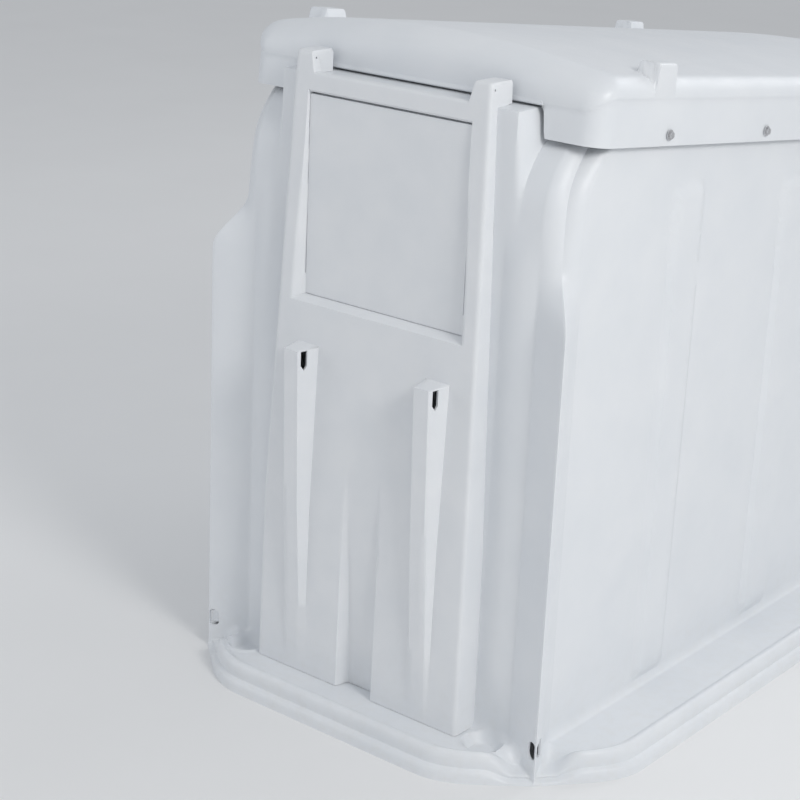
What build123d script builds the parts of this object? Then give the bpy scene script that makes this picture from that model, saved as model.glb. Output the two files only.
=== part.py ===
"""Calf hutch: moulded body, bolted roof cap, rear vent panel with a top-hung flap, doorway gate.

Frame: millimetres, +Z up, the ground is Z = 0 and the origin is the middle of the footprint.
-Y is the closed rear wall with the vent panel, +Y is the calf doorway.
"""
from build123d import *
import os
from itertools import product

# Driving dimensions
HALF_WIDTH = 474        # centre line to a corner fold, across
HALF_LENGTH = 947       # centre line to a corner fold, along
WALL_INSET = 38         # wall plane inside the corner folds
WALL = 5                # moulded wall thickness
VALLEY = 98             # width of the flare that runs out to a corner fold
CORNER_RADIUS = 60      # rounding of the wall corners above the flares
FALL = 0.112            # roof fall towards the doorway, mm per mm
SHOULDER = ((38, 1188), (49, 1245), (71, 1281), (100, 1316), (150, 1345), (250, 1390))
FRONT_SINK = 25         # the shoulder over the doorway sits this much lower under the roof line

LEDGE_OUT = 128         # ledge reach outside the corner folds
LEDGE_HEIGHT = 67       # top of the ledge bead
LEDGE_FLOOR = 56        # ledge floor inside the bead
BEAD_HEIGHT = 28        # lower bead
BEAD_STEP = 12          # upper bead stands inside the lower one
BEAD_WIDTH = 26
SOCKET_X = 341              # round sockets in the ledge, between wall and bead: centre across,
SOCKET_OUT = 6              # and outward of the folds
SOCKET_RADIUS = 42
SOCKET_DEPTH = 20
SLOT_PLACE = (458, 76)      # bolt slot in a corner fold: across, height
SLOT_SIZE = (41, 25)
FLARE_HEIGHT = 985          # rear flares are straight up to here, the front ones lower by the fall
FLARE_FADE = 110            # and then run into the wall over this height

SIDE_RIBS = (-470, 0, 470)  # stiffening ribs along each side wall
SIDE_RIB = (110, 12, 90)    # width, reach, distance of its top under the roof skirt

TOP_OPENING = (740, 1354)   # open top under the roof cap, across and along

BAY_HALF = 310          # box behind the vent panel's top
BAY_TOP = 1386
WINDOW = (195, 940, 1330)   # half width, sill, head of the vent window

PANEL_FOOT = (285, 60)      # half width, height
PANEL_KNEE = (281, 462)
PANEL_TOP = (253, 1393)
PANEL_FRONT = (-29, -23, 16)    # front face at foot, knee and top, from the rear folds
PANEL_BACK = 38
FLAP_HALF = 212         # vent opening in the panel
FLAP_SILL = 918
FLAP_HEAD = 1353
FLAP_PLANE = 20         # flap front face from the rear folds
FLAP_GAP = 1.5
FLAP_SWEEP = 6          # gap over the flap, so that its top edge clears the head as it turns
HINGE_Y, HINGE_Z = 30, 1340
BORDER = 0.2            # gap that keeps a turning edge off the wall behind it
ROD_RADIUS = 3
FIT = 0.05              # radial clearance of a pin in its hole
POST = (205, 252, 1436, 86)     # inner face, outer face, top, rear face
RIB = (150, 203, 819, 53)       # inner side, outer side, top, reach at the top
GROOVE = (45, 580, 34)          # half width, top, depth at the foot
PANEL_BOLTS = ((236, 1230), (243, 980), (248, 560), (250, 160))
INSERT = (7, 18)        # threaded insert: radius, length

ROOF_HALF = 457
ROOF_REAR = 100         # roof rear edge inside the rear folds
ROOF_SKIRT = 1330       # skirt edge at the rear
ROOF_EDGE = 1461        # roof side edge at the rear
ROOF_CROWN = 45
ROOF_CORNER = 50
ROOF_ROUND = 30
ROOF_NOTCH = (322, 1402)
LUG = (50, 70, 34)      # across, along, above the roof edge
LUG_PLACE = 320         # lug centre from each end's folds
ROOF_BOLT_ROWS = (-600, -200, 200, 600)
ROOF_BOLT_HEIGHT = 1352     # at the rear edge, falls with the roof

DOOR_HALF = 300
DOOR_SILL = 110
DOOR_SPRING = 620
TRIM = 8
GATE_TUBE = 11          # tube radius
GATE_HALF = 330
GATE_LOW, GATE_HIGH = 175, 840
GATE_Y = HALF_LENGTH + 12
HINGE_X = -GATE_HALF - 26
HINGE_HEIGHTS = (285, 730)
EYE = (11, 6, 34)       # gate eye: radius, pin radius, height
KEEPER_X = -HINGE_X
LATCH_Z = 520
LATCH_Y = GATE_Y + 21
LATCH_RADIUS = 7
WALL_FACE = HALF_LENGTH - WALL_INSET    # front wall outer face
M8, M6 = 4, 3           # shank radii of the bolts
PLAY = 0.5              # radial play of a bolt in a moulded hole
WASHER = 1.6            # washer thickness
PLATE = (36, 5, 76)     # hinge and keeper base plates
GATE_BOLTS = [(HINGE_X, h + dz) for h in HINGE_HEIGHTS for dz in (-28, 22)]
GATE_BOLTS += [(KEEPER_X, LATCH_Z - 26), (KEEPER_X, LATCH_Z + 26)]


def rear(depth):
    """Y of a point that lies depth inward of the rear corner folds."""
    return depth - HALF_LENGTH


def drop(y):
    """How far the roof line has fallen at y, measured from its rear edge."""
    return FALL * (y - rear(ROOF_REAR))


def save(piece, name):
    piece.part.label = name
    export_step(piece.part, f"parts/{name}.step")


def walls(inset, low):
    """Walls and top as a closed block, moved in by inset all round."""
    wall_y, wall_x = WALL_FACE, HALF_WIDTH - WALL_INSET
    rear_line = [(rear(d) + inset, h - inset) for d, h in SHOULDER]
    front_line = [(-rear(d) - inset, h - inset - drop(-rear(d)) - FRONT_SINK) for d, h in SHOULDER]
    front_line.reverse()
    with BuildPart() as block:
        with BuildSketch(Plane.XY.offset(low)):
            RectangleRounded(2 * (wall_x - inset), 2 * (wall_y - inset), CORNER_RADIUS - inset)
        extrude(amount=1500)
        with BuildSketch(Plane.YZ.offset(-600)):
            with BuildLine():
                Line((-wall_y + inset, -50), rear_line[0])
                Spline(*rear_line, tangents=((0, 1), (1, 0.3)))
                Line(rear_line[-1], front_line[0])
                Spline(*front_line, tangents=((1, -0.5), (0, -1)))
                Line(front_line[-1], (wall_y - inset, -50))
                Line((wall_y - inset, -50), (-wall_y + inset, -50))
            make_face()
        extrude(amount=1200, mode=Mode.INTERSECT)
        for side, end in product((-1, 1), (-1, 1)):
            height = FLARE_HEIGHT if end < 0 else FLARE_HEIGHT - drop(HALF_LENGTH)
            flare(side, end, inset, low, height)
        with Locations((0, rear(WALL_INSET + inset + 110), (BAY_TOP - inset + 1100) / 2)):
            Box(2 * (BAY_HALF - inset), 220, BAY_TOP - inset - 1100)
        width, reach, under = SIDE_RIB
        for y in SIDE_RIBS:
            rib_top = ROOF_SKIRT - drop(y) - under
            with BuildSketch(Plane.XY.offset(low)):
                with Locations((0, y)):
                    Rectangle(2 * (wall_x + reach - inset), width - 2 * inset)
            extrude(amount=rib_top - inset - low)
    return block


def flare(side, end, inset, low, height):
    """One corner flare, added to the open part: a prism that runs into the wall at its top."""
    wall_x, wall_y = HALF_WIDTH - WALL_INSET, WALL_FACE
    corner = [(HALF_WIDTH - VALLEY, wall_y), (HALF_WIDTH, HALF_LENGTH),
              (wall_x, HALF_LENGTH - VALLEY), (HALF_WIDTH - VALLEY - 20, HALF_LENGTH - VALLEY - 20)]
    merged = [(x - 14, y - 14) for x, y in corner]
    merged[1] = (wall_x - 30, wall_y - 30)
    foot = flare_outline(corner, side, end, inset, low)
    extrude(foot.sketch, amount=height - low)
    bottom = flare_outline(corner, side, end, inset, height)
    top = flare_outline(merged, side, end, inset, height + FLARE_FADE)
    loft([bottom.sketch.face(), top.sketch.face()], ruled=True)


def flare_outline(points, side, end, inset, height):
    """Plan of a flare at a height, mirrored to its corner and moved in by inset."""
    with BuildSketch(Plane.XY.offset(height)) as outline:
        Polygon(*[(side * x, end * y) for x, y in points], align=None)
        if inset:
            offset(amount=-inset, kind=Kind.INTERSECTION, mode=Mode.REPLACE)
    return outline


def ledge_outline():
    """Outline of the ledge in plan: straight sides, cut corners that end at the folds."""
    straight_x, straight_y = HALF_WIDTH - 193, HALF_LENGTH - 193
    out_x, out_y = HALF_WIDTH + LEDGE_OUT, HALF_LENGTH + LEDGE_OUT
    quarter = [(out_x, straight_y), (HALF_WIDTH + 67, HALF_LENGTH - 75), (HALF_WIDTH + 2, HALF_LENGTH - 6),
               (HALF_WIDTH - 6, HALF_LENGTH + 2), (HALF_WIDTH - 75, HALF_LENGTH + 67), (straight_x, out_y)]
    upper_right = quarter
    upper_left = [(-x, y) for x, y in reversed(quarter)]
    lower_left = [(-x, -y) for x, y in quarter]
    lower_right = [(x, -y) for x, y in reversed(quarter)]
    return upper_right + upper_left + lower_left + lower_right


def ledge(step, low, high):
    """Slab with the ledge's outline moved in by step, from low to high."""
    with BuildPart() as slab:
        with BuildSketch(Plane.XY.offset(low)):
            Polygon(*ledge_outline(), align=None)
            if step:
                offset(amount=-step, kind=Kind.INTERSECTION, mode=Mode.REPLACE)
        extrude(amount=high - low)
    return slab


def arch(plane, half, sill, spring):
    """Doorway outline on a plane: straight jambs and a half-round head."""
    with BuildSketch(plane) as outline:
        with BuildLine():
            Line((-half, spring), (-half, sill))
            Line((-half, sill), (half, sill))
            Line((half, sill), (half, spring))
            ThreePointArc((half, spring), (0, spring + half), (-half, spring))
        make_face()
    return outline.sketch


def body_shell():
    outer = walls(0, 0)
    inner = walls(WALL, -20)
    lower_bead = ledge(0, 0, BEAD_HEIGHT)
    upper_bead = ledge(BEAD_STEP, BEAD_HEIGHT, LEDGE_HEIGHT)
    trough = ledge(BEAD_STEP + BEAD_WIDTH, LEDGE_FLOOR, LEDGE_HEIGHT)
    underside = ledge(BEAD_STEP + WALL, -10, LEDGE_FLOOR - WALL)
    with BuildPart() as floor_cut:
        add(trough.part)
        add(outer.part, mode=Mode.SUBTRACT)
    with BuildPart() as body:
        add(outer.part)
        add(lower_bead.part)
        add(upper_bead.part)
        add(floor_cut.part, mode=Mode.SUBTRACT)
        add(underside.part, mode=Mode.SUBTRACT)
        add(inner.part, mode=Mode.SUBTRACT)
        socket_cups()
        wall_openings()
        bolt_holes()
    save(body, "body_shell")


def socket_cups():
    """Four round cups in the ledge floor, added to the open part."""
    socket_y = HALF_LENGTH + SOCKET_OUT
    cup_foot = LEDGE_FLOOR - SOCKET_DEPTH - WALL
    for side, end in product((-1, 1), (-1, 1)):
        foot = Plane(origin=(side * SOCKET_X, end * socket_y, cup_foot))
        rod(foot, SOCKET_RADIUS + WALL, SOCKET_DEPTH + WALL)
        rod(foot.offset(WALL), SOCKET_RADIUS, SOCKET_DEPTH + WALL, Mode.SUBTRACT)


def wall_openings():
    """Opening under the roof, vent window, doorway and fold slots, cut from the open part."""
    with BuildSketch(Plane.XY.offset(1000)) as under_roof:
        RectangleRounded(TOP_OPENING[0], TOP_OPENING[1], 90)
    extrude(under_roof.sketch, amount=600, mode=Mode.SUBTRACT)
    half, sill, head = WINDOW
    with BuildSketch(Plane.XZ.offset(HALF_LENGTH - 60)) as window:
        with Locations((0, (sill + head) / 2)):
            RectangleRounded(2 * half, head - sill, 20)
    extrude(window.sketch, amount=60, mode=Mode.SUBTRACT)
    doorway = arch(Plane.XZ.offset(-HALF_LENGTH - 20), DOOR_HALF, DOOR_SILL, DOOR_SPRING)
    extrude(doorway, amount=200, mode=Mode.SUBTRACT)
    for side, end in product((-1, 1), (-1, 1)):
        with BuildSketch(Plane.XZ.offset(-end * HALF_LENGTH - 60)) as slot:
            with Locations((side * SLOT_PLACE[0], SLOT_PLACE[1])):
                SlotOverall(*SLOT_SIZE, rotation=90)
        extrude(slot.sketch, amount=120, mode=Mode.SUBTRACT)


def bolt_holes():
    """Bolt holes through the walls, cut from the open part."""
    for (x, z), side in product(PANEL_BOLTS, (-1, 1)):
        rod(Plane(origin=(side * x, rear(31), z), z_dir=(0, 1, 0)), M8 + PLAY, 20, Mode.SUBTRACT)
    for y in ROOF_BOLT_ROWS:
        at = Plane(origin=(-500, y, ROOF_BOLT_HEIGHT - drop(y)), z_dir=(1, 0, 0))
        rod(at, M8 + PLAY, 1000, Mode.SUBTRACT)
    for x, z in GATE_BOLTS:
        rod(Plane(origin=(x, WALL_FACE - 15, z), z_dir=(0, 1, 0)), M6 + PLAY, 30, Mode.SUBTRACT)


def hexagon(at, flat_radius, amount):
    """Hexagonal prism on the plane at, added to the open part."""
    with BuildSketch(at) as outline:
        RegularPolygon(flat_radius, 6, major_radius=False)
    extrude(outline.sketch, amount=amount)


def rod(at, radius, amount, mode=Mode.ADD):
    """Round bar on the plane at, added to or cut from the open part."""
    with BuildSketch(at) as outline:
        Circle(radius)
    extrude(outline.sketch, amount=amount, mode=mode)


def ring(at, outside, inside, amount):
    """Tube or washer on the plane at, added to the open part."""
    with BuildSketch(at) as outline:
        Circle(outside)
        Circle(inside, mode=Mode.SUBTRACT)
    extrude(outline.sketch, amount=amount)


def bolts(name, places, radius, length):
    """Hex bolts: heads stand on each plane, shanks run back through it."""
    with BuildPart() as group:
        for at in places:
            hexagon(at, radius * 1.6, radius * 1.3)
            rod(at, radius - FIT, -length)
    save(group, name)


def washers(name, places, radius, thickness, outside):
    with BuildPart() as group:
        for at in places:
            ring(at, outside, radius + FIT, thickness)
    save(group, name)


def nuts(name, places, radius):
    with BuildPart() as group:
        for at in places:
            hexagon(at, radius * 1.6, radius * 1.6)
            rod(at, radius, radius * 1.6, Mode.SUBTRACT)
    save(group, name)


# Roof cap: an arched lid that falls towards the doorway
ROOF = Plane(origin=(0, 0, ROOF_EDGE - drop(0)), x_dir=(1, 0, 0), z_dir=(0, FALL, 1))


def roof_block(inset, depth):
    """Arched block under the roof line, with rounded upper edges, moved in by inset."""
    half_length = HALF_LENGTH - ROOF_REAR - inset
    half_width = ROOF_HALF - inset
    round_edge = ROOF_ROUND - inset
    across = Plane(origin=ROOF.origin, x_dir=(1, 0, 0), z_dir=-ROOF.y_dir)
    along = Plane(origin=ROOF.origin, x_dir=ROOF.y_dir, z_dir=(1, 0, 0))
    with BuildPart() as block:
        with BuildSketch(ROOF.offset(-depth)):
            RectangleRounded(2 * half_width, 2 * half_length, ROOF_CORNER - inset)
        extrude(amount=depth + ROOF_CROWN + 10)
        with BuildSketch(across):
            with BuildLine():
                ThreePointArc((-half_width, -inset), (0, ROOF_CROWN - inset), (half_width, -inset))
                Line((half_width, -inset), (half_width, -depth))
                Line((half_width, -depth), (-half_width, -depth))
                Line((-half_width, -depth), (-half_width, -inset))
            make_face()
            fillet(vertices().group_by(Axis.Y)[-1], radius=round_edge)
        extrude(amount=1200, both=True, mode=Mode.INTERSECT)
        with BuildSketch(along):
            with Locations((0, (ROOF_CROWN - inset - depth) / 2)):
                Rectangle(2 * half_length, ROOF_CROWN - inset + depth)
            fillet(vertices().group_by(Axis.Y)[-1], radius=2 * round_edge)
        extrude(amount=600, both=True, mode=Mode.INTERSECT)
    return block


def roof_cap():
    skirt = ROOF_EDGE - ROOF_SKIRT
    outer = roof_block(0, skirt)
    inner = roof_block(WALL, skirt + 30)
    notch_half, notch_top = ROOF_NOTCH
    with BuildPart() as cap:
        add(outer.part)
        for side, end in product((-1, 1), (-1, 1)):
            y = end * (HALF_LENGTH - LUG_PLACE)
            with BuildSketch(Plane.XY.offset(ROOF_EDGE - drop(y) - 30)) as foot:
                with Locations((side * (ROOF_HALF - LUG[0] / 2 - 1), y)):
                    Rectangle(LUG[0], LUG[1])
            extrude(foot.sketch, amount=30 + LUG[2], taper=4)
        add(inner.part, mode=Mode.SUBTRACT)
        with Locations((0, rear(ROOF_REAR), notch_top - 100)):
            Box(2 * notch_half, 120, 200, mode=Mode.SUBTRACT)
        for y in ROOF_BOLT_ROWS:
            at = Plane(origin=(-500, y, ROOF_BOLT_HEIGHT - drop(y)), z_dir=(1, 0, 0))
            rod(at, M8 + PLAY, 1000, Mode.SUBTRACT)
    save(cap, "roof_cap")


def roof_fasteners():
    def places(x):
        """Planes that face outward at |X| = x on each side of the roof."""
        return [Plane(origin=(side * x, y, ROOF_BOLT_HEIGHT - drop(y)), z_dir=(side, 0, 0))
                for side in (-1, 1) for y in ROOF_BOLT_ROWS]
    wall_x = HALF_WIDTH - WALL_INSET
    bolts("roof_bolts", places(ROOF_HALF + WASHER), M8, 44)
    washers("roof_washers", places(ROOF_HALF), M8, WASHER, 11)
    washers("roof_spacers", places(wall_x), M8, ROOF_HALF - WALL - wall_x, 9)
    nuts("roof_nuts", places(wall_x - WALL - 1.6 * M8), M8)


# Vent panel: a moulded A-shaped panel with two ribs, a flute and two hollow posts
def front(z):
    """Depth of the panel's front face at a height, from the rear folds."""
    foot, knee, top = PANEL_FRONT
    if z < PANEL_KNEE[1]:
        return foot + (knee - foot) * (z - PANEL_FOOT[1]) / (PANEL_KNEE[1] - PANEL_FOOT[1])
    return knee + (top - knee) * (z - PANEL_KNEE[1]) / (PANEL_TOP[1] - PANEL_KNEE[1])


def side_slab(points, half, both=True, start=0):
    """Slab across X with its outline given as (depth from the rear folds, height)."""
    with BuildSketch(Plane.YZ.offset(start)) as outline:
        Polygon(*[(rear(depth), z) for depth, z in points], align=None)
    extrude(outline.sketch, amount=half, both=both)


def panel_block(inset):
    foot, knee, top = PANEL_FOOT, PANEL_KNEE, PANEL_TOP
    low, high = foot[1] + inset, top[1] - inset
    back = PANEL_BACK + inset / 2
    with BuildPart() as block:
        side_slab([(front(low) + inset, low), (front(knee[1]) + inset, knee[1]),
                   (front(high) + inset, high), (back, high), (back, low)], 300)
        with BuildSketch(Plane.XZ.offset(HALF_LENGTH - 100)):
            right = [(foot[0] - inset, foot[1] - 5), (knee[0] - inset, knee[1]), (top[0] - inset, top[1] + 5)]
            Polygon(*(right + [(-x, z) for x, z in reversed(right)]), align=None)
        extrude(amount=200, mode=Mode.INTERSECT)
        inner, outer, post_top, post_back = POST
        for side in (-1, 1):
            deep = post_back - inset - front(high) - inset
            with BuildSketch(Plane.XY.offset(BAY_TOP + 1 - 3 * inset)) as post:
                with Locations((side * (inner + outer) / 2, rear(front(high) + inset + deep / 2))):
                    Rectangle(outer - inner - 2 * inset, deep)
            extrude(post.sketch, amount=post_top - BAY_TOP - 1 + 2 * inset, taper=2)
        for side in (-1, 1):
            rib_low, rib_top, reach = PANEL_FOOT[1] + 15, RIB[2] - inset, RIB[3] - inset
            nose = front(RIB[2]) - reach
            start = side * (RIB[0] + inset)
            side_slab([(front(rib_low) + inset, rib_low), (nose, rib_top - 6), (nose + 3, rib_top),
                       (front(rib_top) + inset + 4, rib_top), (front(rib_low) + inset + 4, rib_low)],
                      side * (RIB[1] - RIB[0] - 2 * inset), both=False, start=start)
    return block


def opening(grow):
    """Vent opening: a splayed recess in front of the flap, straight behind it."""
    splay = 50
    def outline(depth, low_half, high_half, sill):
        with BuildSketch(Plane.XZ.offset(-rear(depth))) as shape:
            head = FLAP_HEAD + grow
            Polygon((low_half + grow, sill - grow), (high_half + grow, head),
                    (-high_half - grow, head), (-low_half - grow, sill - grow), align=None)
        return shape.sketch
    with BuildPart() as block:
        mouth = outline(FLAP_PLANE - splay, FLAP_HALF + 0.75 * splay, FLAP_HALF + 0.43 * splay,
                        FLAP_SILL - 0.46 * splay)
        throat = outline(FLAP_PLANE, FLAP_HALF, FLAP_HALF, FLAP_SILL)
        loft([mouth.face(), throat.face()], ruled=True)
        extrude(throat, amount=-40)
    return block


def flute(grow):
    """Flute down the middle of the panel, deepest at the foot."""
    half, top, depth = GROOVE
    with BuildPart() as block:
        side_slab([(-90, top), (front(top) + grow, top + grow),
                   (front(PANEL_FOOT[1]) + depth + grow, PANEL_FOOT[1] - 5), (-90, PANEL_FOOT[1] - 5)],
                  half + grow)
    return block


def vent_panel():
    outer, inner = panel_block(0), panel_block(WALL)
    hollow_opening, hollow_flute = opening(WALL), flute(WALL)
    mouth, groove = opening(0), flute(0)
    with BuildPart() as hollow:
        add(inner.part)
        add(hollow_opening.part, mode=Mode.SUBTRACT)
        add(hollow_flute.part, mode=Mode.SUBTRACT)
    with BuildPart() as panel:
        add(outer.part)
        add(mouth.part, mode=Mode.SUBTRACT)
        add(groove.part, mode=Mode.SUBTRACT)
        add(hollow.part, mode=Mode.SUBTRACT)
        for (x, z), side in product(PANEL_BOLTS, (-1, 1)):
            at = Plane(origin=(side * x, rear(PANEL_BACK), z), z_dir=(0, -1, 0))
            rod(at, INSERT[0] + 4, PANEL_BACK - front(z) - 3)
            rod(at, INSERT[0] + FIT, INSERT[1], Mode.SUBTRACT)
        across = Plane(origin=(-300, rear(HINGE_Y), HINGE_Z), z_dir=(1, 0, 0))
        rod(across, ROD_RADIUS + FIT, 600, Mode.SUBTRACT)
        pin_hole = Plane(origin=(-300, rear(26), POST[2] - 16), z_dir=(1, 0, 0))
        rod(pin_hole, 2.5, 600, Mode.SUBTRACT)
        slot_y = rear(front(RIB[2]) - RIB[3] + 17)
        with BuildSketch(Plane.YZ.offset(-300)) as slot:
            with Locations((slot_y, RIB[2] - 21)):
                SlotOverall(45, 16, rotation=90)
        extrude(slot.sketch, amount=600, mode=Mode.SUBTRACT)
    save(panel, "vent_panel")


def panel_fasteners():
    def places(depth, facing):
        return [Plane(origin=(side * x, rear(depth), z), z_dir=(0, facing, 0))
                for x, z in PANEL_BOLTS for side in (-1, 1)]
    inside = PANEL_BACK + WALL
    radius, length = INSERT
    washers("panel_washers", places(inside, 1), M8, WASHER, 11)
    bolts("panel_bolts", places(inside + WASHER, 1), M8, WASHER + WALL + length - 2)
    with BuildPart() as inserts:
        for at in places(PANEL_BACK, -1):
            ring(at, radius, M8, length)
    save(inserts, "panel_inserts")


def vent_flap():
    half = FLAP_HALF - FLAP_GAP
    low, high = FLAP_SILL + FLAP_GAP, FLAP_HEAD - FLAP_SWEEP
    plate, rim, rim_back = 5, 6, PANEL_BACK - BORDER
    with BuildPart() as flap:
        side_slab([(FLAP_PLANE, low), (FLAP_PLANE, high), (FLAP_PLANE + plate, high),
                   (FLAP_PLANE + plate, low)], half)
        side_slab([(FLAP_PLANE + plate, low), (FLAP_PLANE + plate, low + rim), (rim_back, low + rim),
                   (rim_back, low)], half)
        for side in (-1, 1):
            side_slab([(FLAP_PLANE + plate, low), (FLAP_PLANE + plate, HINGE_Z), (rim_back - 3, HINGE_Z - 20),
                       (rim_back, HINGE_Z - 40), (rim_back, low)],
                      -side * rim, both=False, start=side * half)
        across = Plane(origin=(-half, rear(HINGE_Y), HINGE_Z), z_dir=(1, 0, 0))
        rod(across, 7, 2 * half)
        rod(across, ROD_RADIUS + FIT, 2 * half, Mode.SUBTRACT)
    save(flap, "vent_flap")


def flap_hinge():
    reach = FLAP_HALF + WALL + 3
    with BuildPart() as bar:
        rod(Plane(origin=(-reach, rear(HINGE_Y), HINGE_Z), z_dir=(1, 0, 0)), ROD_RADIUS, 2 * reach)
    save(bar, "flap_hinge_rod")
    clip = [Plane(origin=(side * (FLAP_HALF + WALL + BORDER), rear(HINGE_Y), HINGE_Z), z_dir=(side, 0, 0))
            for side in (-1, 1)]
    washers("flap_rod_clips", clip, ROD_RADIUS, 1, 7)


# Doorway: edge trim and a tube gate on two pintle hinges, shut by a sliding latch
def doorway_trim():
    def slab(half, back, face):
        shape = arch(Plane.XZ.offset(-face), half, DOOR_SILL + DOOR_HALF - half, DOOR_SPRING)
        extrude(shape, amount=face - back)
    with BuildPart() as gap:
        slab(DOOR_HALF + TRIM, WALL_FACE - WALL - FIT, WALL_FACE + FIT)
        cut = arch(Plane.XZ.offset(-WALL_FACE - 20), DOOR_HALF - FIT, DOOR_SILL + FIT, DOOR_SPRING)
        extrude(cut, amount=60, mode=Mode.SUBTRACT)
    with BuildPart() as trim:
        slab(DOOR_HALF + TRIM, WALL_FACE - WALL - 6, WALL_FACE + 6)
        hole = arch(Plane.XZ.offset(-WALL_FACE - 20), DOOR_HALF - TRIM, DOOR_SILL + TRIM, DOOR_SPRING)
        extrude(hole, amount=60, mode=Mode.SUBTRACT)
        add(gap.part, mode=Mode.SUBTRACT)
    save(trim, "doorway_trim")


def gate_frame():
    eye_radius, pin_radius, eye_height = EYE
    with BuildPart() as gate:
        with BuildLine(Plane.XZ.offset(-GATE_Y)) as loop:
            FilletPolyline((GATE_HALF, GATE_LOW), (GATE_HALF, GATE_HIGH), (-GATE_HALF, GATE_HIGH),
                           (-GATE_HALF, GATE_LOW), radius=70, close=True)
        with BuildSketch(Plane(origin=loop.line @ 0, z_dir=loop.line % 0)):
            Circle(GATE_TUBE)
        sweep()
        for x in (-220, -110, 0, 110, 220):
            rod(Plane(origin=(x, GATE_Y, GATE_LOW)), 5, GATE_HIGH - GATE_LOW)
        for z in HINGE_HEIGHTS:
            with Locations(((HINGE_X - GATE_HALF) / 2, GATE_Y, z + eye_height / 2)):
                Box(abs(HINGE_X + GATE_HALF), 10, eye_height - 10)
            rod(Plane(origin=(HINGE_X, GATE_Y, z)), eye_radius, eye_height)
            rod(Plane(origin=(HINGE_X, GATE_Y, z)), pin_radius + FIT, eye_height, Mode.SUBTRACT)
        for x in (220, GATE_HALF):
            with Locations((x, (GATE_Y + LATCH_Y + 12) / 2, LATCH_Z)):
                Box(16, LATCH_Y + 12 - GATE_Y, 26)
            latch_hole = Plane(origin=(x - 20, LATCH_Y, LATCH_Z), z_dir=(1, 0, 0))
            rod(latch_hole, LATCH_RADIUS + FIT, 40, Mode.SUBTRACT)
    save(gate, "gate_frame")


def gate_hinges():
    eye_radius, pin_radius, eye_height = EYE
    gap = 0.5
    for name, z in zip(("lower", "upper"), HINGE_HEIGHTS):
        with BuildPart() as bracket:
            with Locations((HINGE_X, WALL_FACE + 2.5, z - 3)):
                Box(*PLATE)
            arm = GATE_Y + 9 - WALL_FACE
            with Locations((HINGE_X, WALL_FACE + arm / 2, z - gap - 5)):
                Box(18, arm, 10)
            rod(Plane(origin=(HINGE_X, GATE_Y, z - 20)), pin_radius + FIT, 30, Mode.SUBTRACT)
            for dz in (-28, 22):
                hole = Plane(origin=(HINGE_X, WALL_FACE - 5, z + dz), z_dir=(0, 1, 0))
                rod(hole, M6 + PLAY, 20, Mode.SUBTRACT)
        save(bracket, f"{name}_hinge_bracket")
        with BuildPart() as pin:
            rod(Plane(origin=(HINGE_X, GATE_Y, z - gap - 14)), pin_radius, eye_height + 2 * gap + 14)
            rod(Plane(origin=(HINGE_X, GATE_Y, z + eye_height + gap)), pin_radius + 4, 5)
        save(pin, f"{name}_hinge_pin")


def latch():
    travel = 50
    tip = KEEPER_X - 34
    with BuildPart() as bolt:
        rod(Plane(origin=(tip - 170, LATCH_Y, LATCH_Z), z_dir=(1, 0, 0)), LATCH_RADIUS, 170)
        rod(Plane(origin=(270 - travel / 2, LATCH_Y, LATCH_Z), z_dir=(0, 1, 0)), 4.5, 42)
    save(bolt, "latch_bolt")
    with BuildPart() as keeper:
        with Locations((KEEPER_X, WALL_FACE + 2.5, LATCH_Z)):
            Box(*PLATE)
        depth = LATCH_Y + 15 - WALL_FACE
        with Locations((KEEPER_X, WALL_FACE + depth / 2, LATCH_Z)):
            Box(20, depth, 30)
        mouth = Plane(origin=(KEEPER_X - 20, LATCH_Y, LATCH_Z), z_dir=(1, 0, 0))
        rod(mouth, LATCH_RADIUS + 1, 40, Mode.SUBTRACT)
        for dz in (-26, 26):
            hole = Plane(origin=(KEEPER_X, WALL_FACE - 5, LATCH_Z + dz), z_dir=(0, 1, 0))
            rod(hole, M6 + PLAY, 20, Mode.SUBTRACT)
    save(keeper, "latch_keeper")


def gate_fasteners():
    def places(y, facing):
        return [Plane(origin=(x, y, z), z_dir=(0, facing, 0)) for x, z in GATE_BOLTS]
    plate = PLATE[1]
    bolts("gate_bolts", places(WALL_FACE + plate, 1), M6, plate + WALL + WASHER + 6)
    washers("gate_washers", places(WALL_FACE - WALL, -1), M6, WASHER, 9)
    nuts("gate_nuts", places(WALL_FACE - WALL - WASHER, -1), M6)


if __name__ == "__main__":
    os.makedirs("parts", exist_ok=True)
    body_shell()
    roof_cap()
    roof_fasteners()
    vent_panel()
    panel_fasteners()
    vent_flap()
    flap_hinge()
    doorway_trim()
    gate_frame()
    gate_hinges()
    latch()
    gate_fasteners()
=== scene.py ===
"""Looks of the calf hutch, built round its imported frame.

Shapes are worked out in millimetres in the frame's own axes (+Z up, -Y the closed rear wall) and turned
into metres when a mesh is made. A depth is measured inward from the rear corner folds.
"""
import math

import bmesh
import bpy
import numpy as np
from mathutils import Matrix, Vector

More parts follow.
